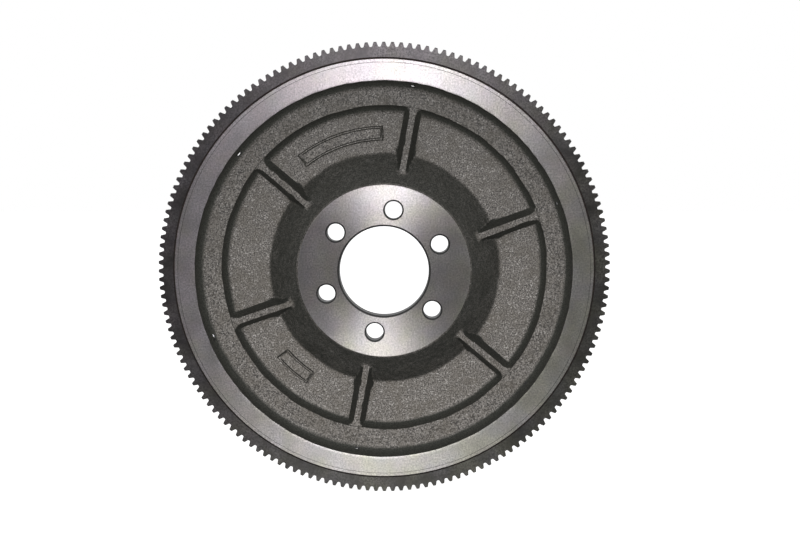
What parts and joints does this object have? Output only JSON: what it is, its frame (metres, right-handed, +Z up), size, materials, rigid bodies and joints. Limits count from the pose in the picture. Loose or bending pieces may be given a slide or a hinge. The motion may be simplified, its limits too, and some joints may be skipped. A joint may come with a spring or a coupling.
{
  "type": "flywheel",
  "caption": "Cast-iron flywheel with a ribbed web, machined rim and crank pad, shrunk-on starter ring gear and clutch cover dowels.",
  "frame": {"origin": "centre of the machined face that bolts to the crankshaft, on the spin axis", "axes": "+Y along the spin axis, from the crankshaft towards the clutch; +Z up; +X to the right seen from the crankshaft"},
  "size_m": [0.3514, 0.04, 0.3514],
  "materials": {
    "cast_iron": "as cast web, turned rim, hub and clutch faces",
    "gear_steel": "dark heat-treated steel",
    "dowel_steel": "ground"
  },
  "bodies": {
    "root": {"flywheel_casting": "cast_iron", "ring_gear": "gear_steel", "dowel_pin_1": "dowel_steel", "dowel_pin_2": "dowel_steel", "dowel_pin_3": "dowel_steel"}
  },
  "joints": []
}
